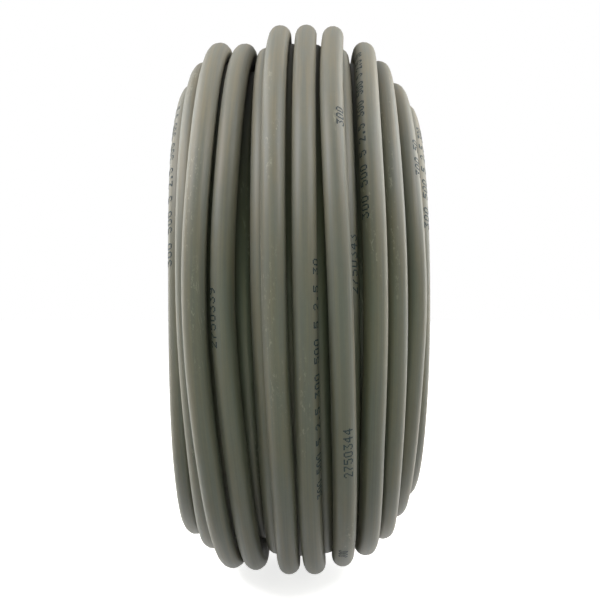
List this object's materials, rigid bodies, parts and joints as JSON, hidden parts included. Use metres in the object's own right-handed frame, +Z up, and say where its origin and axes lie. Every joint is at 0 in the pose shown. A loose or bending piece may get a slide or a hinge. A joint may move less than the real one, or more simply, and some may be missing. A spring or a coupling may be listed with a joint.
{
  "type": "power cable coil",
  "caption": "Coil of round grey power cable wound in layers on itself, with an open bore, standing on its rim.",
  "frame": {"origin": "on the floor under the middle of the coil, where its rim rests", "axes": "+X along the coil's axis, to the right of the picture; +Y away from the camera; +Z up"},
  "size_m": [0.1326, 0.3104, 0.3105],
  "materials": {
    "grey_jacket": "satin extruded PVC, warm grey, with faint draw lines and scuffs"
  },
  "bodies": {
    "root": {"cable_coil": "grey_jacket"}
  },
  "joints": []
}
